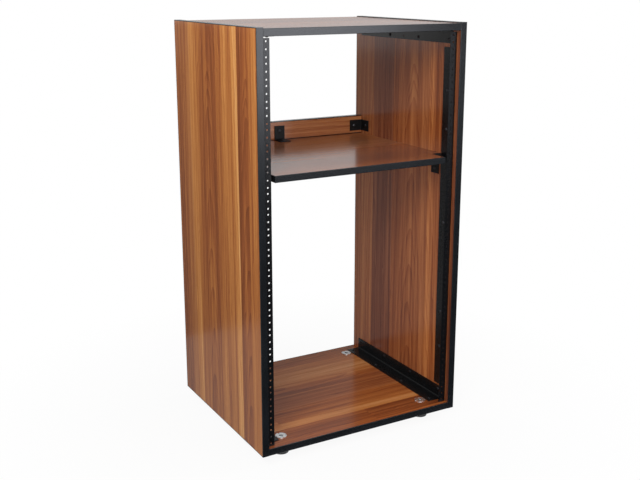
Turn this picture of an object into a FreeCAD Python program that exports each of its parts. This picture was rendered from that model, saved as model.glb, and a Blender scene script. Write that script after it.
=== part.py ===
import FreeCAD, Part
import math
import os

Vector = FreeCAD.Vector

os.makedirs("parts", exist_ok=True)

# A floor-standing studio rack cabinet: an open box of laminated boards that holds
# nineteen-inch equipment between two steel rails, with one shelf and four levelling feet.
# The frame is in millimetres: origin on the floor under the middle of the box,
# +X to the right, +Y to the rear, +Z up. The open front faces -Y.

# One overrun takes every cut clear through what it cuts
overrun = 1.0

# Rack standard: the height of a unit, the clear opening between the rails and the hole pattern
rack_unit_height = 44.45
rack_units = 20
rack_opening = 450.0
rack_hole_diameter = 4.3
rack_hole_from_edge = 7.55
rack_hole_first = 6.35
rack_hole_step = 15.875
rack_holes_per_unit = 3

# Steel rails, L-shaped, with the side flange cut short where the corner angles pass
rail_sheet = 2.0
rail_bend = 1.5
rail_front_width = 19.0
rail_side_depth = 45.0
rail_recess = 12.0
rail_angle_gap = 5.0
rail_floor_gap = 0.5
rail_ceiling_gap = 3.5
rail_screw_setback = 28.0
rail_screw_units = (3, 5, rack_units // 2, rack_units - 5, rack_units - 3)

# Boards of the box and the strips that cover their edges
panel_thickness = 16.0
box_depth = 440.0
band_thickness = 2.0
band_edge_radius = 0.8

# Shelf with a tongue that reaches forward between the rails
shelf_thickness = 15.0
upper_bay_height = 284.0
shelf_front_setback = 8.0
shelf_rear_setback = 12.0
shelf_wall_gap = 0.5
shelf_rail_side_gap = 7.0
shelf_rail_rear_gap = 3.0

# Upright brace along the rear of the shelf
brace_height = 47.0
brace_thickness = 16.0

# Long steel angles in the four corners that run from front to rear
angle_sheet = 2.0
angle_bend = 1.5
angle_board_leg = 38.0
angle_wall_leg = 30.0
angle_setback = 28.0
angle_end_inset = 12.0
angle_screws_per_leg = 4
angle_board_hole_reach = 27.0
angle_wall_hole_reach = 22.0

# Small steel brackets of the shelf and the brace
bracket_sheet = 2.0
bracket_bend = 1.5
bracket_leg = 36.0
bracket_width = 28.0
bracket_hole_reach = 24.0
bracket_lift = 7.5
shelf_bracket_rail_gap = 9.0

# Wood screws with a pan head and a cross recess
screw_shank_diameter = 3.0
screw_length = 12.0
screw_tip_length = 3.0
screw_head_diameter = 7.4
screw_head_height = 2.4
screw_head_rim = 0.9
screw_recess_span = 4.2
screw_recess_width = 0.8
screw_recess_depth = 1.4
screw_sheet_hole_diameter = 4.2
screw_pilot_clearance = 0.05

# Tee nuts pressed into the floor board over the feet
nut_angle_gap = 1.0
nut_from_edge = 45.0
nut_flange_diameter = 26.0
nut_flange_thickness = 1.5
nut_barrel_diameter = 10.0
nut_barrel_length = 13.0
nut_board_clearance = 0.05
nut_prongs = 4
nut_prong_radius = 9.6
nut_prong_width = 4.0
nut_prong_thickness = 1.2
nut_prong_depth = 6.0
nut_prong_tip = 1.0

# Levelling feet: a stem with a hex collar that turns in the socket of its pad
stem_diameter = 8.0
stem_thread_length = 15.0
stem_thread_clearance = 0.05
stem_collar_sides = 6
stem_collar_across_flats = 13.0
stem_collar_height = 6.4
stem_neck_diameter = 10.0
stem_neck_clearance = 0.08
stem_heel_diameter = 14.0
stem_heel_height = 3.0
foot_gap = 0.3
pad_diameter = 35.0
pad_height = 15.0
pad_rim_height = 8.0
pad_top_diameter = 24.0
pad_floor_thickness = 4.0
pad_edge_radius = 1.5

# Places that follow from the sizes above
rail_length = rack_units * rack_unit_height
inner_half = rack_opening / 2 + rail_front_width
outer_half = inner_half + panel_thickness
front = -box_depth / 2
rear = box_depth / 2
foot_height = pad_height + stem_collar_height + 2 * foot_gap
box_base = foot_height
floor_top = box_base + panel_thickness
ceiling = floor_top + rail_floor_gap + rail_length + rail_ceiling_gap
top_surface = ceiling + panel_thickness
side_top = top_surface + band_thickness
rail_front = front + rail_recess
rail_back = rail_front + rail_side_depth
rail_bottom = floor_top + rail_floor_gap
rail_top = rail_bottom + rail_length
rail_end_relief = angle_wall_leg + rail_angle_gap
angle_length = box_depth - 2 * angle_setback
shelf_top = ceiling - upper_bay_height
shelf_bottom = shelf_top - shelf_thickness
shelf_front = front + shelf_front_setback
shelf_rear = rear - shelf_rear_setback
shelf_half = inner_half - shelf_wall_gap
shelf_tongue_half = rack_opening / 2 - shelf_rail_side_gap
shelf_notch_back = rail_back + shelf_rail_rear_gap
brace_front = shelf_rear - brace_thickness
brace_top = shelf_top + brace_height
nut_x = inner_half - angle_board_leg - nut_angle_gap - nut_flange_diameter / 2
nut_y = box_depth / 2 - nut_from_edge

RIGHT = Vector(1, 0, 0)
BACK = Vector(0, 1, 0)
UP = Vector(0, 0, 1)
SIDES = (("left", -1), ("right", 1))
ENDS = (("front", -1), ("rear", 1))


def block(low, high):
    """A box between two opposite corners."""
    size = high - low
    return Part.makeBox(size.x, size.y, size.z, low)


def rod(diameter, start, direction, length):
    """A cylinder that starts at a point and runs along a direction."""
    return Part.makeCylinder(diameter / 2, length, start, direction)


def line(first, last):
    return Part.LineSegment(first, last).toShape()


def arc(first, middle, last):
    return Part.Arc(first, middle, last).toShape()


def turned(edges):
    """A solid of revolution about +Z from a closed outline in the XZ plane."""
    return Part.Face(Part.Wire(edges)).revolve(Vector(), UP)


# Sheet-metal angles

def angle_section(corner, along_u, along_v, leg_u, leg_v, sheet, bend):
    """The L-shaped face of bent sheet: its legs run from the corner along u and along v."""
    def at(u, v):
        return corner + along_u * u + along_v * v

    outer = bend + sheet
    outer_mid = outer - outer * math.sqrt(0.5)
    inner_mid = outer - bend * math.sqrt(0.5)
    edges = [
        line(at(leg_u, 0), at(outer, 0)),
        arc(at(outer, 0), at(outer_mid, outer_mid), at(0, outer)),
        line(at(0, outer), at(0, leg_v)),
        line(at(0, leg_v), at(sheet, leg_v)),
        line(at(sheet, leg_v), at(sheet, outer)),
        arc(at(sheet, outer), at(inner_mid, inner_mid), at(outer, sheet)),
        line(at(outer, sheet), at(leg_u, sheet)),
        line(at(leg_u, sheet), at(leg_u, 0)),
    ]
    return Part.Face(Part.Wire(edges))


def leg_holes(corner, along, outward, run, reach, places, diameter, sheet):
    """Hole tools through one leg: reach along the leg, places along the angle's length."""
    return [
        rod(
            diameter,
            corner + along * reach + run * place - outward * overrun,
            outward,
            sheet + 2 * overrun,
        )
        for place in places
    ]


def leg_seats(corner, along, outward, run, reach, places, sheet):
    """Where screw heads sit on one leg, each with the way its head faces."""
    return [(corner + along * reach + run * place + outward * sheet, outward) for place in places]


# Screws and what they are driven into

def make_screw(seat, outward):
    """A pan-head wood screw whose head rests on the seat and faces outward."""
    head_radius = screw_head_diameter / 2
    shank_radius = screw_shank_diameter / 2
    dome = screw_head_height - screw_head_rim
    # The dome is an arc through the rim and the crown, so its middle follows from both
    dome_radius = (head_radius**2 + dome**2) / (2 * dome)
    half_turn = math.asin(head_radius / dome_radius) / 2
    dome_centre = screw_head_height - dome_radius
    point = Vector(0, 0, -screw_length)
    shoulder = Vector(shank_radius, 0, screw_tip_length - screw_length)
    neck = Vector(shank_radius, 0, 0)
    rim_low = Vector(head_radius, 0, 0)
    rim_high = Vector(head_radius, 0, screw_head_rim)
    dome_height = dome_centre + dome_radius * math.cos(half_turn)
    dome_middle = Vector(dome_radius * math.sin(half_turn), 0, dome_height)
    crown = Vector(0, 0, screw_head_height)
    body = turned([
        line(point, shoulder),
        line(shoulder, neck),
        line(neck, rim_low),
        line(rim_low, rim_high),
        arc(rim_high, dome_middle, crown),
        line(crown, point),
    ])
    span = screw_recess_span / 2
    width = screw_recess_width / 2
    recess_floor = screw_head_height - screw_recess_depth
    recess_top = screw_head_height + overrun
    recess = [
        block(Vector(-span, -width, recess_floor), Vector(span, width, recess_top)),
        block(Vector(-width, -span, recess_floor), Vector(width, span, recess_top)),
    ]
    screw = body.cut(recess)
    screw.Placement = FreeCAD.Placement(seat, FreeCAD.Rotation(UP, outward))
    return screw


def pilot(seat, outward):
    """The hole that a screw leaves in the board behind its seat."""
    return rod(
        screw_shank_diameter + 2 * screw_pilot_clearance,
        seat + outward * overrun,
        -outward,
        overrun + screw_length + screw_pilot_clearance,
    )


def pilots(seats):
    return [pilot(seat, outward) for seat, outward in seats]


# Corner angles, each screwed to a side panel and to the floor or the top board

angle_pitch = (angle_length - 2 * angle_end_inset) / (angle_screws_per_leg - 1)
angle_screw_places = [angle_end_inset + number * angle_pitch for number in range(angle_screws_per_leg)]
angle_hole_places = angle_screw_places + [angle_length / 2]


def corner_angle(side, board_face, inward):
    """One long angle, with the seats of its wall screws and of its board screws."""
    corner = Vector(side * inner_half, -angle_length / 2, board_face)
    to_middle = RIGHT * -side
    section = angle_section(
        corner, to_middle, inward, angle_board_leg, angle_wall_leg, angle_sheet, angle_bend
    )
    board = (corner, to_middle, inward, BACK, angle_board_hole_reach)
    wall = (corner, inward, to_middle, BACK, angle_wall_hole_reach)
    holes = leg_holes(*board, angle_hole_places, screw_sheet_hole_diameter, angle_sheet)
    holes += leg_holes(*wall, angle_hole_places, screw_sheet_hole_diameter, angle_sheet)
    solid = section.extrude(BACK * angle_length).cut(holes)
    board_seats = leg_seats(*board, angle_screw_places, angle_sheet)
    wall_seats = leg_seats(*wall, angle_screw_places, angle_sheet)
    return solid, wall_seats, board_seats


# Rack rails

def rack_rail(side):
    """One rail with its rack holes, and the seats of the screws in its side flange."""
    corner = Vector(side * inner_half, rail_front, rail_bottom)
    to_middle = RIGHT * -side
    section = angle_section(
        corner, to_middle, BACK, rail_front_width, rail_side_depth, rail_sheet, rail_bend
    )
    front_holes = [
        rack_hole_first + unit * rack_unit_height + number * rack_hole_step
        for unit in range(rack_units)
        for number in range(rack_holes_per_unit)
    ]
    side_holes = [unit * rack_unit_height for unit in rail_screw_units]
    rack_reach = rail_front_width - rack_hole_from_edge
    wall = (corner, BACK, to_middle, UP, rail_screw_setback)
    tools = leg_holes(
        corner, to_middle, BACK, UP, rack_reach, front_holes, rack_hole_diameter, rail_sheet
    )
    tools += leg_holes(*wall, side_holes, screw_sheet_hole_diameter, rail_sheet)
    near = inner_half - rail_front_width - overrun
    far = inner_half + overrun
    low_x, high_x = sorted((side * near, side * far))
    for low_z, high_z in (
        (rail_bottom - overrun, rail_bottom + rail_end_relief),
        (rail_top - rail_end_relief, rail_top + overrun),
    ):
        low = Vector(low_x, rail_front + rail_sheet, low_z)
        high = Vector(high_x, rail_back + overrun, high_z)
        tools.append(block(low, high))
    solid = section.extrude(UP * rail_length).cut(tools)
    return solid, leg_seats(*wall, side_holes, rail_sheet)


# Small brackets

def small_bracket(corner, along_u, along_v, run):
    """One bracket, with the seat of its screw on each leg: first the u leg, then the v leg."""
    section = angle_section(
        corner, along_u, along_v, bracket_leg, bracket_leg, bracket_sheet, bracket_bend
    )
    u_leg = (corner, along_u, along_v, run, bracket_hole_reach, [bracket_width / 2])
    v_leg = (corner, along_v, along_u, run, bracket_hole_reach, [bracket_width / 2])
    holes = leg_holes(*u_leg, screw_sheet_hole_diameter, bracket_sheet)
    holes += leg_holes(*v_leg, screw_sheet_hole_diameter, bracket_sheet)
    solid = section.extrude(run * bracket_width).cut(holes)
    return solid, leg_seats(*u_leg, bracket_sheet), leg_seats(*v_leg, bracket_sheet)


# Edge bands

def band_strip(low, high, run, outward):
    """A strip of edge band whose two long outer edges are rounded over."""
    strip = block(low, high)
    exposed = max(vertex.Point.dot(outward) for vertex in strip.Vertexes)
    slack = band_thickness / 2
    long_edges = []
    for edge in strip.Edges:
        first, last = (vertex.Point for vertex in edge.Vertexes)
        outer = min(first.dot(outward), last.dot(outward)) > exposed - slack
        if outer and abs((last - first).dot(run)) > slack:
            long_edges.append(edge)
    return strip.makeFillet(min(band_edge_radius, slack), long_edges)


def side_bands(side):
    """The band round a side panel: front and rear strips full height, the others between."""
    low_x, high_x = sorted((side * inner_half, side * outer_half))
    strips = []
    for end in (-1, 1):
        low_y, high_y = sorted((end * box_depth / 2, end * (box_depth / 2 - band_thickness)))
        low = Vector(low_x, low_y, box_base)
        strips.append(band_strip(low, Vector(high_x, high_y, side_top), UP, BACK * end))
    for low_z, facing in ((box_base, -UP), (top_surface, UP)):
        low = Vector(low_x, front + band_thickness, low_z)
        high = Vector(high_x, rear - band_thickness, low_z + band_thickness)
        strips.append(band_strip(low, high, BACK, facing))
    return Part.makeCompound(strips)


def board_bands(low_z, high_z):
    """The front and rear strips of a board that lies between the side panels."""
    strips = []
    for end in (-1, 1):
        low_y, high_y = sorted((end * box_depth / 2, end * (box_depth / 2 - band_thickness)))
        low = Vector(-inner_half, low_y, low_z)
        strips.append(band_strip(low, Vector(inner_half, high_y, high_z), RIGHT, BACK * end))
    return Part.makeCompound(strips)


def shelf_bands():
    """The band along the front of the shelf's tongue and along its two sides."""
    inner = shelf_tongue_half - band_thickness
    behind = shelf_front + band_thickness
    front_strip = band_strip(
        Vector(-shelf_tongue_half, shelf_front, shelf_bottom),
        Vector(shelf_tongue_half, behind, shelf_top),
        RIGHT,
        -BACK,
    )
    strips = [front_strip]
    for side in (-1, 1):
        low_x, high_x = sorted((side * inner, side * shelf_tongue_half))
        low = Vector(low_x, behind, shelf_bottom)
        high = Vector(high_x, shelf_notch_back, shelf_top)
        strips.append(band_strip(low, high, BACK, RIGHT * side))
    return Part.makeCompound(strips)


def brace_bands():
    """The strips along the top and the bottom edge of the brace."""
    strips = []
    for low_z, facing in ((shelf_top, -UP), (brace_top - band_thickness, UP)):
        low = Vector(-shelf_half, brace_front, low_z)
        high = Vector(shelf_half, shelf_rear, low_z + band_thickness)
        strips.append(band_strip(low, high, RIGHT, facing))
    return Part.makeCompound(strips)


# Boards

def side_panel(side, seats):
    low_x, high_x = sorted((side * inner_half, side * outer_half))
    low = Vector(low_x, front + band_thickness, box_base + band_thickness)
    high = Vector(high_x, rear - band_thickness, top_surface)
    return block(low, high).cut(pilots(seats))


def level_board(low_z, tools):
    """The floor board or the top board, between the side panels."""
    low = Vector(-inner_half, front + band_thickness, low_z)
    high = Vector(inner_half, rear - band_thickness, low_z + panel_thickness)
    return block(low, high).cut(tools)


def shelf_board(seats):
    """The shelf, notched at its front corners round the rails."""
    tongue = shelf_tongue_half - band_thickness
    tongue_front = shelf_front + band_thickness
    outline = [
        (-shelf_half, shelf_rear),
        (shelf_half, shelf_rear),
        (shelf_half, shelf_notch_back),
        (tongue, shelf_notch_back),
        (tongue, tongue_front),
        (-tongue, tongue_front),
        (-tongue, shelf_notch_back),
        (-shelf_half, shelf_notch_back),
        (-shelf_half, shelf_rear),
    ]
    wire = Part.makePolygon([Vector(x, y, shelf_bottom) for x, y in outline])
    return Part.Face(wire).extrude(UP * shelf_thickness).cut(pilots(seats))


def brace_board(seats):
    low = Vector(-shelf_half, brace_front, shelf_top + band_thickness)
    high = Vector(shelf_half, shelf_rear, brace_top - band_thickness)
    return block(low, high).cut(pilots(seats))


# Tee nuts

prong_turn = 2 * math.pi / nut_prongs


def prong_points(clearance):
    """Outline of one prong in the plane across its radius, pointing down from the flange."""
    wide = nut_prong_width / 2 + clearance
    tip = nut_prong_tip / 2 + clearance
    depth = nut_prong_depth + clearance
    return ((-wide, 0), (wide, 0), (tip, -depth), (-tip, -depth), (-wide, 0))


def prong(number, clearance):
    """One prong, turned round the nut's axis, with room on every face."""
    inner = nut_prong_radius - nut_prong_thickness / 2 - clearance
    wire = Part.makePolygon([Vector(inner, across, down) for across, down in prong_points(clearance)])
    solid = Part.Face(wire).extrude(RIGHT * (nut_prong_thickness + 2 * clearance))
    solid.rotate(Vector(), UP, math.degrees(number * prong_turn))
    return solid


def rim_slot(number):
    """The slot in the flange's rim that a prong was bent out of."""
    inner = nut_prong_radius + nut_prong_thickness / 2
    half = nut_prong_width / 2
    low = Vector(inner, -half, -overrun)
    high = Vector(nut_flange_diameter, half, nut_flange_thickness + overrun)
    slot = block(low, high)
    slot.rotate(Vector(), UP, math.degrees(number * prong_turn))
    return slot


def tee_nut(place):
    """A tee nut whose flange lies on the floor board round the place given."""
    flange = rod(nut_flange_diameter, Vector(), UP, nut_flange_thickness)
    flange = flange.cut([rim_slot(number) for number in range(nut_prongs)])
    barrel = rod(nut_barrel_diameter, Vector(), -UP, nut_barrel_length)
    nut = flange.fuse([barrel] + [prong(number, 0) for number in range(nut_prongs)])
    bore_start = Vector(0, 0, -nut_barrel_length - overrun)
    bore_length = nut_barrel_length + nut_flange_thickness + 2 * overrun
    nut = nut.cut(rod(stem_diameter + 2 * stem_thread_clearance, bore_start, UP, bore_length))
    nut = nut.removeSplitter()
    nut.translate(place)
    return nut


def nut_cuts(place):
    """What the floor board loses to one tee nut: a through hole and four prong slots."""
    start = Vector(0, 0, overrun)
    hole = rod(
        nut_barrel_diameter + 2 * nut_board_clearance, start, -UP, panel_thickness + 2 * overrun
    )
    tools = [hole] + [prong(number, nut_board_clearance) for number in range(nut_prongs)]
    for tool in tools:
        tool.translate(place)
    return tools


# Levelling feet

stem_heel_bottom = pad_floor_thickness + foot_gap
stem_heel_top = stem_heel_bottom + stem_heel_height
stem_collar_bottom = pad_height + foot_gap
stem_collar_top = stem_collar_bottom + stem_collar_height
stem_tip = box_base + stem_thread_length


def foot_stem(place):
    """The stem: a heel in the pad, a neck, a hex collar for the wrench and the thread."""
    heel = rod(stem_heel_diameter, Vector(0, 0, stem_heel_bottom), UP, stem_heel_height)
    neck_length = stem_collar_bottom - stem_heel_top
    neck = rod(stem_neck_diameter, Vector(0, 0, stem_heel_top), UP, neck_length)
    half_side_angle = math.pi / stem_collar_sides
    corner_radius = stem_collar_across_flats / 2 / math.cos(half_side_angle)
    corners = []
    for number in range(stem_collar_sides + 1):
        angle = 2 * half_side_angle * number
        across = corner_radius * math.cos(angle)
        along = corner_radius * math.sin(angle)
        corners.append(Vector(across, along, stem_collar_bottom))
    collar = Part.Face(Part.makePolygon(corners)).extrude(UP * stem_collar_height)
    thread = rod(stem_diameter, Vector(0, 0, stem_collar_top), UP, stem_tip - stem_collar_top)
    stem = heel.fuse([neck, collar, thread]).removeSplitter()
    stem.translate(place)
    return stem


def foot_pad(place):
    """The pad: a round foot that narrows upwards, with a socket that holds the stem's heel."""
    radius = pad_diameter / 2
    top_radius = pad_top_diameter / 2
    round_mid = pad_edge_radius * (1 - math.sqrt(0.5))
    sole = Vector(radius - pad_edge_radius, 0, 0)
    round_middle = Vector(radius - round_mid, 0, round_mid)
    rim_low = Vector(radius, 0, pad_edge_radius)
    rim_high = Vector(radius, 0, pad_rim_height)
    top_edge = Vector(top_radius, 0, pad_height)
    top_middle = Vector(0, 0, pad_height)
    body = turned([
        line(Vector(), sole),
        arc(sole, round_middle, rim_low),
        line(rim_low, rim_high),
        line(rim_high, top_edge),
        line(top_edge, top_middle),
        line(top_middle, Vector()),
    ])
    socket = rod(
        stem_heel_diameter + 2 * foot_gap,
        Vector(0, 0, pad_floor_thickness),
        UP,
        stem_heel_height + 2 * foot_gap,
    )
    neck = rod(
        stem_neck_diameter + 2 * stem_neck_clearance,
        Vector(0, 0, pad_floor_thickness),
        UP,
        pad_height - pad_floor_thickness + overrun,
    )
    pad = body.cut([socket, neck]).removeSplitter()
    pad.translate(place)
    return pad


# The assembly: metalwork first, because its screws say where the boards are drilled

nodes = {}
wall_seats = {"left": [], "right": []}
floor_seats = []
ceiling_seats = []
shelf_seats = []
brace_seats = []
rail_screw_seats = []

for name, side in SIDES:
    rail, seats = rack_rail(side)
    nodes[name + "_rack_rail"] = rail
    rail_screw_seats += seats
    wall_seats[name] += seats

for name, side in SIDES:
    lower, wall, board = corner_angle(side, floor_top, UP)
    nodes["lower_" + name + "_corner_angle"] = lower
    wall_seats[name] += wall
    floor_seats += board
    upper, wall, board = corner_angle(side, ceiling, -UP)
    nodes["upper_" + name + "_corner_angle"] = upper
    wall_seats[name] += wall
    ceiling_seats += board

angle_screw_seats = floor_seats + ceiling_seats
for name, side in SIDES:
    angle_screw_seats += [seat for seat in wall_seats[name] if seat not in rail_screw_seats]

bracket_screw_seats = []
for name, side in SIDES:
    to_middle = RIGHT * -side
    corner = Vector(side * inner_half, brace_front, shelf_top + bracket_lift)
    bracket, on_brace, on_wall = small_bracket(corner, to_middle, -BACK, UP)
    nodes["brace_" + name + "_bracket"] = bracket
    brace_seats += on_brace
    wall_seats[name] += on_wall
    bracket_screw_seats += on_brace + on_wall
    corner = Vector(side * inner_half, rail_back + shelf_bracket_rail_gap, shelf_bottom)
    bracket, on_shelf, on_wall = small_bracket(corner, to_middle, -UP, BACK)
    nodes["shelf_" + name + "_bracket"] = bracket
    shelf_seats += on_shelf
    wall_seats[name] += on_wall
    bracket_screw_seats += on_shelf + on_wall

corner = Vector(-bracket_width / 2, brace_front, shelf_top)
bracket, on_shelf, on_brace = small_bracket(corner, -BACK, UP, RIGHT)
nodes["brace_centre_bracket"] = bracket
shelf_seats += on_shelf
brace_seats += on_brace
bracket_screw_seats += on_shelf + on_brace

for node, seats in (
    ("rail_screws", rail_screw_seats),
    ("corner_angle_screws", angle_screw_seats),
    ("bracket_screws", bracket_screw_seats),
):
    nodes[node] = Part.makeCompound([make_screw(seat, outward) for seat, outward in seats])

# Feet and their nuts, one at each corner of the floor board
floor_cuts = pilots(floor_seats)
for end_name, end in ENDS:
    for side_name, side in SIDES:
        label = end_name + "_" + side_name
        on_floor = Vector(side * nut_x, end * nut_y, 0)
        on_board = on_floor + UP * floor_top
        nodes[label + "_tee_nut"] = tee_nut(on_board)
        nodes[label + "_foot_stem"] = foot_stem(on_floor)
        nodes[label + "_foot_pad"] = foot_pad(on_floor)
        floor_cuts += nut_cuts(on_board)

# Boards and the bands on their edges
for name, side in SIDES:
    nodes[name + "_side_panel"] = side_panel(side, wall_seats[name])
    nodes[name + "_side_edge_band"] = side_bands(side)
nodes["bottom_panel"] = level_board(box_base, floor_cuts)
nodes["bottom_edge_band"] = board_bands(box_base, floor_top)
nodes["top_panel"] = level_board(ceiling, pilots(ceiling_seats))
nodes["top_edge_band"] = board_bands(ceiling, top_surface)
nodes["shelf_panel"] = shelf_board(shelf_seats)
nodes["shelf_edge_band"] = shelf_bands()
nodes["rear_brace"] = brace_board(brace_seats)
nodes["brace_edge_band"] = brace_bands()

for node, shape in nodes.items():
    shape.exportStep("parts/" + node + ".step")

print(len(nodes), "nodes,", 2 * outer_half, "wide,", box_depth, "deep,", side_top, "high")
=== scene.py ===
import math

import bpy
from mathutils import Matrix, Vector

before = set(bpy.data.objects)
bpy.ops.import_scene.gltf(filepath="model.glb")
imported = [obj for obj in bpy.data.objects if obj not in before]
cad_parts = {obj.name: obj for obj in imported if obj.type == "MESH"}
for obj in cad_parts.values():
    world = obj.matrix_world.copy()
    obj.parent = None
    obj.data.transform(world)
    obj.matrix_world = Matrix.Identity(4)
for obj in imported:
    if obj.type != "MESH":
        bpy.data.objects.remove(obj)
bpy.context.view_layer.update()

# Side panels
# Two upright boards of particle board faced with walnut-print melamine laminate, 16 mm thick.
# The print shows glued staves of walnut that run from top to bottom, under a satin clear skin.


def linear(hex_code):
    """An sRGB hex colour as the linear colour that a shader takes."""
    parts = [int(hex_code[i:i + 2], 16) / 255 for i in (0, 2, 4)]
    return tuple(c / 12.92 if c <= 0.04045 else ((c + 0.055) / 1.055) ** 2.4 for c in parts) + (1.0,)


def add_node(tree, kind, inputs=None, stops=None, **settings):
    """Adds a shader node with its settings, its colour stops and what its inputs take."""
    node = tree.nodes.new(kind)
    for name, value in settings.items():
        setattr(node, name, value)
    for socket, value in (inputs or {}).items():
        if isinstance(value, bpy.types.NodeSocket):
            tree.links.new(value, node.inputs[socket])
        else:
            node.inputs[socket].default_value = value
    for number, (place, colour) in enumerate(stops or []):
        elements = node.color_ramp.elements
        stop = elements[number] if number < 2 else elements.new(place)
        stop.position = place
        stop.color = linear(colour) if isinstance(colour, str) else colour
    return node


def new_material(name):
    """An empty node material and its shader."""
    material = bpy.data.materials.new(name)
    material.use_nodes = True
    tree = material.node_tree
    tree.nodes.clear()
    shader = add_node(tree, "ShaderNodeBsdfPrincipled")
    add_node(tree, "ShaderNodeOutputMaterial", {"Surface": shader.outputs[0]})
    return material, tree, shader


def dress(material, *names):
    """Gives CAD nodes their material."""
    for name in names:
        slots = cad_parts[name].data.materials
        slots.clear()
        slots.append(material)


# Colours of the print from its darkest to its palest streak, as (tone, colour)
golden_walnut = [(0.0, "42210F"), (0.20, "6A371B"), (0.40, "905029"),
                 (0.56, "AC6A34"), (0.76, "CB8B4C"), (1.0, "E6B57A")]
rosy_walnut = [(0.0, "3C1A0E"), (0.20, "622F18"), (0.40, "8C4B28"),
               (0.56, "AC6537"), (0.76, "CC854C"), (1.0, "E4AA74")]
mauve_walnut = [(0.0, "33201A"), (0.22, "56342A"), (0.42, "7A4836"), (0.62, "9C664A"), (1.0, "C4936B")]


def walnut_laminate(name, across, along, low, high, face, staves, stave_length=2600.0,
                    warm=golden_walnut, figure=1.0, listed_face="low", blacked_to=None):
    """Walnut-print melamine laminate: satin, clear and slightly rippled. All places are in mm.
    across and along are the frame axes across and along the grain, from 0 for X to 2 for Z.
    low and high are the board's limits across the grain, and face is the place through its thickness
    where its other face takes over. The staves are those of the face on the listed_face side of it.
    Each stave is (start, where its figure is centred from its start, seed, how cool its brown is, tones),
    and its tones are (place, tone) from its start to its end. An end joint comes every stave_length.
    warm is the brown of a stave that isn't cool, and figure is how strongly the streaks show.
    blacked_to is the place across the grain up to which the sawn edges are blacked."""
    material, tree, shader = new_material(name)
    place = add_node(tree, "ShaderNodeTexCoord").outputs["Object"]
    millimetres = add_node(tree, "ShaderNodeVectorMath", {0: place, 1: (1000, 1000, 1000)},
                           operation="MULTIPLY").outputs[0]
    axes = add_node(tree, "ShaderNodeSeparateXYZ", {0: millimetres}).outputs
    thickness_axis = 3 - across - along

    # The other face is another sheet of the same print: turned round and cut further along
    cut_further = 1370.0
    beyond = "GREATER_THAN" if listed_face == "low" else "LESS_THAN"
    other = add_node(tree, "ShaderNodeMath", {0: axes[thickness_axis], 1: face}, operation=beyond).outputs[0]
    # 1 on the listed face and -1 on the other
    turn = add_node(tree, "ShaderNodeMath", {0: other, 1: -2.0, 2: 1.0}, operation="MULTIPLY_ADD").outputs[0]
    turned = add_node(tree, "ShaderNodeMath", {0: axes[across], 1: turn}, operation="MULTIPLY").outputs[0]
    grain_across = add_node(tree, "ShaderNodeMath", {0: other, 1: low + high, 2: turned},
                            operation="MULTIPLY_ADD").outputs[0]
    grain_along = add_node(tree, "ShaderNodeMath", {0: other, 1: cut_further, 2: axes[along]},
                           operation="MULTIPLY_ADD").outputs[0]

    # Stave by stave: figure centre in green, seed in blue, coolness in alpha.
    # A colour holds 0 to 1, so the figure's centre is kept as its share of a reach beyond the board.
    centre_reach = 1600.0
    centre_margin = 400.0
    # A stave's last tone stops this short of its end, so the next stave starts along a sharp line
    border_width = 0.1
    share = add_node(tree, "ShaderNodeMapRange", {0: grain_across, 1: low, 2: high}).outputs[0]
    stave_table = []
    tone_table = []
    for start, centre, seed, coolness, tones in staves:
        kept_centre = (start + centre - low + centre_margin) / centre_reach
        stave_table.append(((start - low) / (high - low), (0, kept_centre, seed, coolness)))
        end = tones[-1][0]
        for at, tone in tones:
            if at == end and end < high:
                at = end - border_width
            tone_table.append(((at - low) / (high - low), (tone, tone, tone, 1)))
    stave_ramp = add_node(tree, "ShaderNodeValToRGB", {0: share}, stops=stave_table)
    stave_ramp.color_ramp.interpolation = "CONSTANT"
    stave = add_node(tree, "ShaderNodeSeparateColor", {0: stave_ramp.outputs[0]})
    stave_centre, stave_seed, stave_coolness = stave.outputs[1], stave.outputs[2], stave_ramp.outputs[1]
    tone_ramp = add_node(tree, "ShaderNodeValToRGB", {0: share}, stops=tone_table)
    stave_tone = add_node(tree, "ShaderNodeSeparateColor", {0: tone_ramp.outputs[0]}).outputs[0]

    # End joints: a stave is one length of wood after another. Each length has its own tone, and comes
    # from another place along a long log and another layer of it.
    seed_per_length = 0.37
    log_length = 9000.0
    log_layers = 60.0
    shifted = add_node(tree, "ShaderNodeMath", {0: stave_seed, 1: stave_length, 2: grain_along},
                       operation="MULTIPLY_ADD").outputs[0]
    count = add_node(tree, "ShaderNodeMath", {0: shifted, 1: stave_length}, operation="DIVIDE").outputs[0]
    length_number = add_node(tree, "ShaderNodeMath", {0: count}, operation="FLOOR").outputs[0]
    wood_piece = add_node(tree, "ShaderNodeMath", {0: length_number, 1: seed_per_length, 2: stave_seed},
                          operation="MULTIPLY_ADD").outputs[0]
    own = add_node(tree, "ShaderNodeTexWhiteNoise", {"W": wood_piece}, noise_dimensions="1D").outputs["Value"]
    along_log = add_node(tree, "ShaderNodeMath", {0: own, 1: log_length, 2: grain_along},
                         operation="MULTIPLY_ADD").outputs[0]

    def streaks(width, length, detail, layer):
        """Noise drawn out along the grain, of a width and a length in mm. Each use has its own layer."""
        x = add_node(tree, "ShaderNodeMath", {0: grain_across, 1: width}, operation="DIVIDE").outputs[0]
        y = add_node(tree, "ShaderNodeMath", {0: along_log, 1: length}, operation="DIVIDE").outputs[0]
        z = add_node(tree, "ShaderNodeMath", {0: own, 1: log_layers, 2: layer},
                     operation="MULTIPLY_ADD").outputs[0]
        vector = add_node(tree, "ShaderNodeCombineXYZ", {0: x, 1: y, 2: z}).outputs[0]
        return add_node(tree, "ShaderNodeTexNoise", {
            "Vector": vector, "Scale": 1.0, "Detail": detail, "Roughness": 0.55}).outputs[0]

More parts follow.
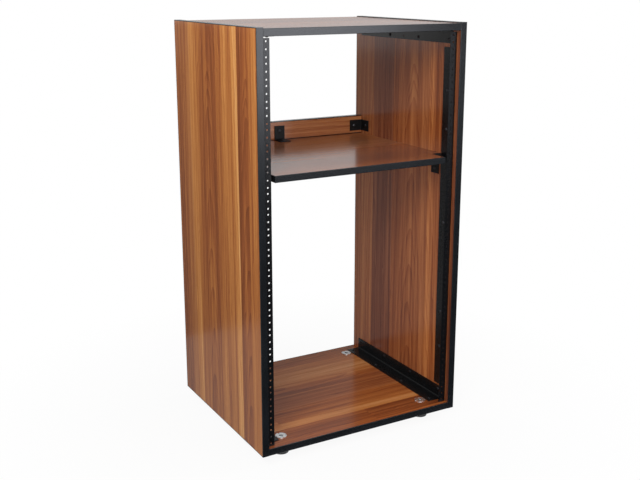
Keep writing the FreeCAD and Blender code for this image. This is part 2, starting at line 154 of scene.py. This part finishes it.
    # Growth rings: the board cuts rings round a pith that lies behind its face and leans away from it
    # along the log, which draws cathedral arches. wander is how far they waver to the sides.
    pith_depth = 42.0
    pith_lean = 0.05
    wander = 30.0
    waver = streaks(width=34.0, length=150.0, detail=2.0, layer=3.0)
    middle = add_node(tree, "ShaderNodeMath", {0: stave_centre, 1: centre_reach, 2: low - centre_margin},
                      operation="MULTIPLY_ADD").outputs[0]
    offset = add_node(tree, "ShaderNodeMath", {0: grain_across, 1: middle}, operation="SUBTRACT").outputs[0]
    wandering = add_node(tree, "ShaderNodeMath", {0: waver, 1: wander, 2: offset},
                         operation="MULTIPLY_ADD").outputs[0]
    lean = add_node(tree, "ShaderNodeMath", {0: grain_along, 1: pith_lean, 2: pith_depth},
                    operation="MULTIPLY_ADD").outputs[0]
    to_pith = add_node(tree, "ShaderNodeCombineXYZ", {0: wandering, 1: lean, 2: 0.0}).outputs[0]
    radius = add_node(tree, "ShaderNodeVectorMath", {0: to_pith}, operation="LENGTH").outputs["Value"]
    # A ring is 5.5 mm wide on average. Wide and narrow years come and go within about 22 mm, which
    # shifts the rings by up to seven.
    ring_width = 5.5
    year_swing = 22.22
    year_shift = 7.0
    year = add_node(tree, "ShaderNodeTexNoise", {"W": radius, "Scale": 1 / year_swing, "Detail": 2.0},
                    noise_dimensions="1D").outputs[0]
    even_ring = add_node(tree, "ShaderNodeMath", {0: radius, 1: ring_width}, operation="DIVIDE").outputs[0]
    ring = add_node(tree, "ShaderNodeMath", {0: year, 1: year_shift, 2: even_ring},
                    operation="MULTIPLY_ADD").outputs[0]
    ring_part = add_node(tree, "ShaderNodeMath", {0: ring}, operation="FRACT").outputs[0]
    # Latewood, the dark part of a ring, comes up over its last two thirds
    latewood_start = 0.35
    latewood = add_node(tree, "ShaderNodeMapRange", {0: ring_part, 1: latewood_start, 2: 1.0, 3: 0.0, 4: 1.0},
                        interpolation_type="SMOOTHSTEP").outputs[0]

    broad = streaks(width=26.0, length=1100.0, detail=2.0, layer=7.0)
    medium = streaks(width=7.5, length=520.0, detail=3.0, layer=11.0)
    fine = streaks(width=1.8, length=150.0, detail=2.0, layer=17.0)
    # Pores are under 0.3 mm wide, so they are drawn 0.8 mm wide to show
    pores = streaks(width=0.8, length=14.0, detail=1.0, layer=23.0)

    # Each pattern lightens or darkens the stave's tone by its weight, and latewood darkens it
    level = stave_tone
    for pattern, weight in ((broad, 0.54), (medium, 0.50), (fine, 0.24), (own, 0.08)):
        centred = add_node(tree, "ShaderNodeMath", {0: pattern, 1: 0.5}, operation="SUBTRACT").outputs[0]
        level = add_node(tree, "ShaderNodeMath", {0: centred, 1: weight * figure, 2: level},
                         operation="MULTIPLY_ADD").outputs[0]
    latewood_weight = -0.12
    level = add_node(tree, "ShaderNodeMath", {0: latewood, 1: latewood_weight * figure, 2: level},
                     operation="MULTIPLY_ADD").outputs[0]
    sapwood = add_node(tree, "ShaderNodeValToRGB", {0: level}, stops=warm).outputs[0]
    heartwood = add_node(tree, "ShaderNodeValToRGB", {0: level}, stops=mauve_walnut).outputs[0]
    walnut = add_node(tree, "ShaderNodeMix", {0: stave_coolness, 6: sapwood, 7: heartwood},
                      data_type="RGBA").outputs[2]
    # Where the pores' noise peaks, the print darkens by up to this
    pore_strength = 0.22
    open_pore = add_node(tree, "ShaderNodeMapRange", {
        0: pores, 1: 0.60, 2: 0.72, 3: 0.0, 4: pore_strength}).outputs[0]
    printed = add_node(tree, "ShaderNodeMix", {0: open_pore, 6: walnut, 7: linear("2B1409")},
                       data_type="RGBA").outputs[2]
    # Noise lies mostly between 0.3 and 0.7
    smoothest, roughest = 0.15, 0.22
    satin = add_node(tree, "ShaderNodeMapRange", {
        0: fine, 1: 0.3, 2: 0.7, 3: smoothest, 4: roughest}).outputs[0]

    # A sawn edge without a band shows the particle board: wood chips of just under 2 mm, bound with resin.
    # A sawn edge is where the surface faces along the board rather than through its thickness.
    chip_size = 1.818
    sawn_roughness = 0.6
    normal = add_node(tree, "ShaderNodeNewGeometry").outputs["True Normal"]
    facing = add_node(tree, "ShaderNodeSeparateXYZ", {0: normal}).outputs[thickness_axis]
    flatness = add_node(tree, "ShaderNodeMath", {0: facing}, operation="ABSOLUTE").outputs[0]
    sawn = add_node(tree, "ShaderNodeMath", {0: flatness, 1: 0.5}, operation="LESS_THAN").outputs[0]
    chips = add_node(tree, "ShaderNodeTexVoronoi", {
        "Vector": place, "Scale": 1000 / chip_size}).outputs["Color"]
    chip = add_node(tree, "ShaderNodeSeparateColor", {0: chips}).outputs[0]
    edge = add_node(tree, "ShaderNodeValToRGB", {0: chip}, stops=[
        (0.0, "82603C"), (0.5, "B8946A"), (1.0, "DBC197")]).outputs[0]
    if blacked_to is not None:
        blacked = add_node(tree, "ShaderNodeMath", {0: axes[across], 1: blacked_to},
                           operation="LESS_THAN").outputs[0]
        edge = add_node(tree, "ShaderNodeMix", {0: blacked, 6: edge, 7: linear("0D0E10")},
                        data_type="RGBA").outputs[2]
    colour = add_node(tree, "ShaderNodeMix", {0: sawn, 6: printed, 7: edge}, data_type="RGBA").outputs[2]
    tree.links.new(colour, shader.inputs["Base Color"])
    rough = add_node(tree, "ShaderNodeMath", {0: sawn, 1: sawn_roughness, 2: satin},
                     operation="MULTIPLY_ADD").outputs[0]
    tree.links.new(rough, shader.inputs["Roughness"])
    shader.inputs["IOR"].default_value = 1.45
    # The press leaves the pores as dents of up to 0.1 mm
    bump = add_node(tree, "ShaderNodeBump", {"Strength": 0.03, "Distance": 0.0001, "Height": pores})
    tree.links.new(bump.outputs[0], shader.inputs["Normal"])
    return material


# Borders between the staves, in mm from the middle of the depth, as the photographed faces show them
left_walnut = walnut_laminate(
    "walnut_laminate_left_side", across=1, along=2, low=-220, high=220, face=-252, staves=[
        (-220, 140, 0.11, 0.0, ((-220, 0.57), (-185, 0.56), (-174, 0.50))),
        (-174, 20, 0.53, 0.0, ((-174, 0.41), (-150, 0.42), (-124, 0.47))),
        (-124, 260, 0.37, 0.0, ((-124, 0.82), (-104, 0.74), (-92, 0.56), (-36, 0.50), (-13, 0.49))),
        (-13, 62, 0.59, 0.0, ((-13, 0.47), (60, 0.44), (74, 0.54), (98, 0.56), (106, 0.66), (133, 0.76))),
        (133, -90, 0.23, 0.25, ((133, 0.64), (160, 0.58), (180, 0.53), (220, 0.52)))])
right_walnut = walnut_laminate(
    "walnut_laminate_right_side", across=1, along=2, low=-220, high=220, face=252, staves=[
        (-220, 60, 0.29, 0.6, ((-220, 0.36), (-208, 0.36))),
        (-208, 120, 0.21, 0.0, ((-208, 0.54), (-140, 0.54), (-124, 0.70), (-111, 0.72))),
        (-111, 84, 0.57, 0.2, ((-111, 0.59), (-30, 0.57), (41, 0.54))),
        (41, 190, 0.45, 0.7, ((41, 0.47), (132, 0.47))),
        (132, -60, 0.33, 0.35, ((132, 0.69), (152, 0.65), (176, 0.61), (220, 0.63)))], warm=rosy_walnut)
dress(left_walnut, "left_side_panel")
dress(right_walnut, "right_side_panel")

# Floor board and top board
# The same laminated board, laid between the side panels with the grain from left to right.
# Both are banded along the front and the rear, and the corner angles tie them to the side panels.

# The floor board's print is redder than the others
russet_walnut = [(0.0, "3C190B"), (0.20, "622D13"), (0.40, "8C4820"),
                 (0.56, "AC602C"), (0.76, "CC8040"), (1.0, "E4A568")]
floor_walnut = walnut_laminate(
    "walnut_laminate_floor", across=1, along=0, low=-220, high=220, face=30, staves=[
        (-220, 130, 0.965, 0.05, ((-220, 0.48), (-150, 0.48))),
        (-150, -107, 0.13, 0.0, ((-150, 0.86), (-135, 0.84), (-124, 0.74), (-112, 0.64), (-100, 0.57))),
        (-100, 140, 0.23, 0.0, ((-100, 0.52), (-78, 0.54), (-60, 0.60))),
        (-60, 140, 0.53, 0.25, ((-60, 0.79), (-40, 0.66), (-22, 0.52), (6, 0.49), (30, 0.58))),
        (30, 40, 0.89, 0.1, ((30, 0.63), (70, 0.70))),
        (70, 160, 0.23, 0.1, ((70, 0.80), (96, 0.96), (124, 0.88), (144, 0.74), (220, 0.61)))],
    stave_length=1300.0, warm=russet_walnut, listed_face="high")
top_walnut = walnut_laminate(
    "walnut_laminate_top", across=1, along=0, low=-220, high=220, face=939, staves=[
        (-220, 60, 0.41, 0.9, ((-220, 0.46), (-118, 0.46))),
        (-118, 150, 0.17, 0.7, ((-118, 0.50), (-8, 0.50))),
        (-8, 40, 0.59, 1.0, ((-8, 0.44), (96, 0.46))),
        (96, 130, 0.57, 0.8, ((96, 0.50), (220, 0.52)))], listed_face="high")
dress(floor_walnut, "bottom_panel")
dress(top_walnut, "top_panel")

# Edge bands
# Strips of black ABS, 2 mm thick, hot-glued to the sawn edges of the boards and rounded over.
# Extruded ABS with a fine pearl grain: slate where it takes the light, near black elsewhere.


def grained_skin(name, dark, pale, grain, detail, roughness, bump, depth, finish, patches=None):
    """A moulded, painted or plated skin. Its grain, of a size in mm, sets its roughness between two values
    and its bump, of a strength and a depth in mm. Its colour goes from dark to pale with the grain,
    or with patches of a size in mm where they are given. finish holds the shader's other values."""
    material, tree, shader = new_material(name)
    place = add_node(tree, "ShaderNodeTexCoord").outputs["Object"]
    grains = add_node(tree, "ShaderNodeTexNoise", {
        "Vector": place, "Scale": 1000 / grain, "Detail": detail}).outputs[0]
    clouds = grains
    if patches is not None:
        clouds = add_node(tree, "ShaderNodeTexNoise", {
            "Vector": place, "Scale": 1000 / patches, "Detail": 3.0}).outputs[0]
    tint = add_node(tree, "ShaderNodeValToRGB", {0: clouds}, stops=[(0.3, dark), (0.7, pale)]).outputs[0]
    tree.links.new(tint, shader.inputs["Base Color"])
    smoothest, roughest = roughness
    rough = add_node(tree, "ShaderNodeMapRange", {
        0: grains, 1: 0.3, 2: 0.7, 3: smoothest, 4: roughest}).outputs[0]
    tree.links.new(rough, shader.inputs["Roughness"])
    relief = add_node(tree, "ShaderNodeBump", {"Strength": bump, "Distance": depth / 1000, "Height": grains})
    tree.links.new(relief.outputs[0], shader.inputs["Normal"])
    for socket, value in finish.items():
        shader.inputs[socket].default_value = value
    return material


# The pearl grain is about 0.2 mm, drawn at 0.6 mm to show
edge_band = grained_skin("abs_edge_band", "0D1013", "14171B", grain=0.5882, detail=2.0, patches=71.4,
                         roughness=(0.20, 0.29), bump=0.12, depth=0.1,
                         finish={"IOR": 1.54, "Specular IOR Level": 0.40})
dress(edge_band, "left_side_edge_band", "right_side_edge_band", "top_edge_band", "bottom_edge_band")

# Rack rails
# Punched and folded 2 mm steel, powder-coated black, screwed to the side panels just inside the front.
# The powder flows to a satin skin with a faint orange peel, about 1.25 mm across.

powder_coat = grained_skin("black_powder_coated_steel", "07080A", "0C0D10", grain=1.25, detail=2.0,
                           patches=45.45, roughness=(0.22, 0.31), bump=0.10, depth=0.2,
                           finish={"IOR": 1.5, "Specular IOR Level": 0.38})
dress(powder_coat, "left_rack_rail", "right_rack_rail")

# Corner angles
# Four long folded steel angles that hold the side panels to the floor and the top board.
# The same black powder coat as the rails.

dress(powder_coat, "lower_left_corner_angle", "lower_right_corner_angle",
      "upper_left_corner_angle", "upper_right_corner_angle")

# Shelf and its brace
# The shelf is 15 mm laminated board notched round the rails. The tongue between them is banded, and
# the shader draws the sawn edges of the notches near black. The brace, a strip of the same board, stands
# along the rear of the shelf and stiffens it.

shelf_walnut = walnut_laminate(
    "walnut_laminate_shelf", across=1, along=0, low=-212, high=208, face=639.5, staves=[
        (-212, 120, 0.47, 0.1, ((-212, 0.44), (-150, 0.42))),
        (-150, 20, 0.87, 0.2, ((-150, 0.38), (-84, 0.42))),
        (-84, 150, 0.27, 0.0, ((-84, 0.52), (-8, 0.54))),
        (-8, 130, 0.63, 0.6, ((-8, 0.66), (90, 0.70))),
        (90, 170, 0.33, 0.4, ((90, 0.72), (208, 0.72)))],
    stave_length=1500.0, warm=rosy_walnut, figure=0.34, listed_face="high", blacked_to=-150.0)
# The brace is cut from one stave, with its grain from left to right, and its places are heights
brace_walnut = walnut_laminate(
    "walnut_laminate_brace", across=2, along=0, low=600, high=700, face=200, staves=[
        (600, -60, 0.29, 0.35, ((600, 0.76), (700, 0.78)))], warm=rosy_walnut)
dress(shelf_walnut, "shelf_panel")
dress(brace_walnut, "rear_brace")
dress(edge_band, "shelf_edge_band", "brace_edge_band")

# Shelf and brace brackets
# Small folded steel angles in a duller, blacker coat than the rails: two carry the shelf's front,
# two tie the brace to the walls and one ties it down to the shelf.

# Spray texture of about 0.4 mm, drawn at 1 mm to show
matt_coat = grained_skin("matt_black_painted_steel", "0B0B0C", "18191A", grain=1.0, detail=3.0,
                         roughness=(0.42, 0.58), bump=0.25, depth=0.2,
                         finish={"IOR": 1.5, "Specular IOR Level": 0.22})
dress(matt_coat, "brace_left_bracket", "brace_right_bracket", "brace_centre_bracket",
      "shelf_left_bracket", "shelf_right_bracket")

# Screws
# Pan-head wood screws of carbon steel with a cross recess, black zinc plated.
# The plating leaves a dark metal with a dull shine and a mottle of about 1.1 mm.

screw_steel = grained_skin("black_zinc_plated_steel", "3A3B3F", "5A5C61", grain=1.111, detail=3.0,
                           roughness=(0.28, 0.44), bump=0.10, depth=0.1, finish={"Metallic": 1.0})
dress(screw_steel, "rail_screws", "corner_angle_screws", "bracket_screws")

# Tee nuts
# Pressed steel with bright zinc plating, hammered into the floor board over each foot.
# Zinc keeps a cool silver colour with a fine crystal mottle. The thread, in the nut's bore and on the stem,
# is painted dark as shade, most in its grooves.

corners = ["front_left", "front_right", "rear_left", "rear_right"]
crystal_size = 0.5
cloud_size = 3.846
bright_zinc, tree, shader = new_material("bright_zinc_plated_steel")
place = add_node(tree, "ShaderNodeTexCoord").outputs["Object"]
crystals = add_node(tree, "ShaderNodeTexVoronoi", {
    "Vector": place, "Scale": 1000 / crystal_size}).outputs["Color"]
clouds = add_node(tree, "ShaderNodeTexNoise", {
    "Vector": place, "Scale": 1000 / cloud_size, "Detail": 3.0}).outputs[0]
plating = add_node(tree, "ShaderNodeValToRGB", {0: clouds}, stops=[
    (0.3, "CDD1D5"), (0.7, "F0F2F3")]).outputs[0]

# Place from the axis of the nearest nut and stem: they stand 192 mm to each side and 175 mm to front and rear
nut_places = (192.0, 175.0)
millimetres = add_node(tree, "ShaderNodeVectorMath", {0: place, 1: (1000, 1000, 1000)},
                       operation="MULTIPLY").outputs[0]
axes = add_node(tree, "ShaderNodeSeparateXYZ", {0: millimetres}).outputs
from_axis = []
for axis, nut_place in enumerate(nut_places):
    side = add_node(tree, "ShaderNodeMath", {0: axes[axis]}, operation="SIGN").outputs[0]
    from_axis.append(add_node(tree, "ShaderNodeMath", {0: side, 1: -nut_place, 2: axes[axis]},
                              operation="MULTIPLY_ADD").outputs[0])

# M8 thread, right-handed, on all that lies above the hex collar and within reach of the axis.
# crest is 0 in a groove and 0.5 on a crest. The thread is painted dark as shade: fully in a groove and to 0.4
# on a crest.
thread_pitch = 1.25
thread_reach = 4.3
thread_depth = 0.7
collar_top = 21.8
crest_shade_cut = -1.2
across_axis = add_node(tree, "ShaderNodeCombineXYZ", {0: from_axis[0], 1: from_axis[1], 2: 0.0}).outputs[0]
radius = add_node(tree, "ShaderNodeVectorMath", {0: across_axis}, operation="LENGTH").outputs["Value"]
near_axis = add_node(tree, "ShaderNodeMath", {0: radius, 1: thread_reach}, operation="LESS_THAN").outputs[0]
above_collar = add_node(tree, "ShaderNodeMath", {0: axes[2], 1: collar_top},
                        operation="GREATER_THAN").outputs[0]
threaded = add_node(tree, "ShaderNodeMath", {0: near_axis, 1: above_collar}, operation="MULTIPLY").outputs[0]
angle = add_node(tree, "ShaderNodeMath", {0: from_axis[1], 1: from_axis[0]}, operation="ARCTAN2").outputs[0]
climb = add_node(tree, "ShaderNodeMath", {0: axes[2], 1: thread_pitch}, operation="DIVIDE").outputs[0]
turns = add_node(tree, "ShaderNodeMath", {0: angle, 1: -1 / (2 * math.pi), 2: climb},
                 operation="MULTIPLY_ADD").outputs[0]
flank = add_node(tree, "ShaderNodeMath", {0: turns, 1: 0.5}, operation="PINGPONG").outputs[0]
crest = add_node(tree, "ShaderNodeMath", {0: flank, 1: threaded}, operation="MULTIPLY").outputs[0]
# Painted shade on the thread: 1 in a groove and 0.4 on a crest, mixing the plating towards dark grey 242527
painted_groove_shade = add_node(tree, "ShaderNodeMath", {0: crest, 1: crest_shade_cut, 2: threaded},
                  operation="MULTIPLY_ADD").outputs[0]
tint = add_node(tree, "ShaderNodeMix", {0: painted_groove_shade, 6: plating, 7: linear("242527")},
                data_type="RGBA").outputs[2]
tree.links.new(tint, shader.inputs["Base Color"])
rough = add_node(tree, "ShaderNodeMapRange", {0: crystals, 1: 0.0, 2: 1.0, 3: 0.28, 4: 0.44}).outputs[0]
tree.links.new(rough, shader.inputs["Roughness"])
shader.inputs["Metallic"].default_value = 1.0
clouded = add_node(tree, "ShaderNodeBump", {
    "Strength": 0.08, "Distance": 0.0001, "Height": clouds}).outputs[0]
bump = add_node(tree, "ShaderNodeBump", {
    "Strength": 1.0, "Distance": thread_depth / 1000, "Height": crest, "Normal": clouded}).outputs[0]
tree.links.new(bump, shader.inputs["Normal"])
dress(bright_zinc, *[corner + "_tee_nut" for corner in corners])

# Levelling feet
# A zinc-plated M8 stem with a hex collar screws into each tee nut, and its heel turns in a round
# pad of moulded black ABS that stands on the floor.

dress(bright_zinc, *[corner + "_foot_stem" for corner in corners])
# Spark-eroded mould texture of about 0.3 mm, drawn at 0.8 mm to show
pad_abs = grained_skin("moulded_black_abs", "141516", "1E1F21", grain=0.8, detail=2.0,
                       roughness=(0.48, 0.62), bump=0.2, depth=0.2, finish={"IOR": 1.54})
dress(pad_abs, *[corner + "_foot_pad" for corner in corners])

# Studio floor
# A pale, matt sweep of paper under the feet. In the picture it is nearly white, with the cabinet's
# faint soft shadow, and from 0.3 to 0.9 m from the middle it fades to the white of the surround.


def stage_sheet(name, low, high, material):
    """A flat sheet between two corners in metres."""
    mesh = bpy.data.meshes.new(name)
    mesh.from_pydata([low, (high[0], low[1], low[2]), high, (low[0], high[1], high[2])], [], [(0, 1, 2, 3)])
    mesh.materials.append(material)
    sheet = bpy.data.objects.new(name, mesh)
    bpy.context.scene.collection.objects.link(sheet)
    return sheet


def show(tree, surface):
    """Links a shader to a material's output."""
    output = [node for node in tree.nodes if node.type == "OUTPUT_MATERIAL"][0]
    tree.links.new(surface, output.inputs["Surface"])


def shown_rays(tree):
    """1 for camera, glossy and transmission rays, which see the white background, and 0 for others."""
    path = add_node(tree, "ShaderNodeLightPath")
    shown = path.outputs["Is Camera Ray"]
    for ray in ("Is Glossy Ray", "Is Transmission Ray"):
        shown = add_node(tree, "ShaderNodeMath", {0: shown, 1: path.outputs[ray]},
                         operation="MAXIMUM").outputs[0]
    return shown


# The sweep lies half a millimetre below the pads, so that the two never share a plane
sweep_reach = 60.0
sweep_height = -0.0005
paper_mottle = 333.3
near_white = 0.93
fade_start, fade_end = 0.30, 0.9
sweep, tree, shader = new_material("pale_studio_sweep")
place = add_node(tree, "ShaderNodeTexCoord").outputs["Object"]
mottle = add_node(tree, "ShaderNodeTexNoise", {
    "Vector": place, "Scale": 1000 / paper_mottle, "Detail": 2.0}).outputs[0]
tint = add_node(tree, "ShaderNodeValToRGB", {0: mottle}, stops=[(0.3, "D4D4D3"), (0.7, "DEDEDD")]).outputs[0]
tree.links.new(tint, shader.inputs["Base Color"])
shader.inputs["Roughness"].default_value = 0.7
white = add_node(tree, "ShaderNodeEmission", {"Color": (1, 1, 1, 1), "Strength": 1.0}).outputs[0]
distance = add_node(tree, "ShaderNodeVectorMath", {0: place}, operation="LENGTH").outputs["Value"]
fade = add_node(tree, "ShaderNodeMapRange", {
    0: distance, 1: fade_start, 2: fade_end, 3: near_white, 4: 1.0}).outputs[0]
amount = add_node(tree, "ShaderNodeMath", {0: shown_rays(tree), 1: fade}, operation="MULTIPLY").outputs[0]
show(tree, add_node(tree, "ShaderNodeMixShader", {0: amount, 1: shader.outputs[0], 2: white}).outputs[0])
stage_sheet("studio_floor", (-sweep_reach, -sweep_reach, sweep_height),
            (sweep_reach, sweep_reach, sweep_height), sweep)

# Studio light
# A white surround that shows in the laminate and the metal, and five lamps: a soft box at the upper
# left of the front, a fill in front of it, a small box high beside the left panel, a wide soft box
# at the right, and in front at the right a cool box that shows in the bands.

# The surround is white where it is seen or reflected, and lights the cabinet at a quarter of that
world = bpy.data.worlds.new("white_surround")
bpy.context.scene.world = world
world.use_nodes = True
tree = world.node_tree
tree.nodes.clear()
white = add_node(tree, "ShaderNodeBackground", {"Color": (1, 1, 1, 1), "Strength": 1.0}).outputs[0]
ambient = add_node(tree, "ShaderNodeBackground", {"Color": (1, 1, 1, 1), "Strength": 0.25}).outputs[0]
surround = add_node(tree, "ShaderNodeMixShader", {0: shown_rays(tree), 1: ambient, 2: white}).outputs[0]
add_node(tree, "ShaderNodeOutputWorld", {"Surface": surround})

# Each lamp's place, the point that it faces, its side in metres, its power in watts and its colour
for name, place, aim, size, power, colour in (
    ("soft_box_left", (-1.45, -1.52, 1.85), (0.0, 0.0, 0.9), 0.9, 28.0, (1, 1, 1)),
    ("fill_box_front", (-0.75, -2.55, 1.15), (0.1, 0.0, 0.5), 0.9, 20.0, (1, 1, 1)),
    ("top_box_left", (-1.15, -0.3, 1.4), (-0.26, 0.0, 0.85), 0.4, 6.0, (1, 1, 1)),
    ("soft_box_right", (2.9, -0.4, 2.1), (0.0, 0.0, 0.5), 1.5, 62.0, (1, 1, 1)),
    ("strip_box_front", (1.15, -2.7, 0.9), (0.0, -0.2, 0.9), 1.0, 14.5, (0.90, 0.92, 1.0)),
):
    light = bpy.data.lights.new(name, "AREA")
    light.size = size
    light.energy = power
    light.color = colour
    lamp = bpy.data.objects.new(name, light)
    lamp.location = place
    lamp.rotation_euler = (Vector(aim) - Vector(place)).to_track_quat("-Z", "Y").to_euler()
    bpy.context.scene.collection.objects.link(lamp)

# Reflection cards
# Eight cards that stand and lie out of the picture and show only in the polish. They keep the white
# surround out of the side faces and the floor board, and give the front bands a dark floor to reflect.

# Each card's brightness, from black to white, and its two corners in metres
for name, brightness, low, high in (
    ("card_behind_left", 0.09, (-3.2, 0.6, 0.0), (-0.38, 0.6, 0.93)),
    ("card_beside_left", 0.34, (-1.6, -0.4, 0.001), (-0.262, 0.6, 0.001)),
    ("card_under_rear", 0.28, (-0.262, 0.23, 0.001), (0.262, 0.6, 0.001)),
    ("card_on_floor_behind", 0.30, (-1.5, 0.6, 0.001), (1.5, 1.0, 0.001)),
    ("card_behind", 0.32, (-1.5, 1.0, 0.0), (1.5, 1.0, 0.80)),
    ("card_on_horizon", 0.61, (-1.5, 1.0, 0.93), (1.5, 1.0, 1.12)),
    ("card_before_front", 0.03, (-0.25, -5.5, 0.001), (6.5, -0.25, 0.001)),
    ("card_beside_strip", 0.20, (1.72, -2.9, 0.0), (6.5, -2.9, 1.6)),
):
    card_paper, tree, shader = new_material(name + "_paper")
    glow = add_node(tree, "ShaderNodeEmission", {"Color": (1, 1, 1, 1), "Strength": brightness}).outputs[0]
    show(tree, glow)
    card = stage_sheet(name, low, high, card_paper)
    card.visible_camera = False
    card.visible_diffuse = False
    card.visible_shadow = False
    card.visible_transmission = False

# Camera
# Stands to the left of the front at about the height of the top, as the photograph was taken.
# A small shift lowers the frame, so that the cabinet stands as high in it as in the photograph.

camera_data = bpy.data.cameras.new("camera")
camera_data.sensor_width = 36.0
camera_data.lens = 53.55
camera_data.shift_y = -0.0297
camera = bpy.data.objects.new("camera", camera_data)
camera.location = (-1.089, -1.933, 1.039)
camera.rotation_euler = (math.radians(75.8), 0.0, math.radians(-29.6))
bpy.context.scene.collection.objects.link(camera)
bpy.context.scene.camera = camera
bpy.context.scene.view_settings.view_transform = "Standard"
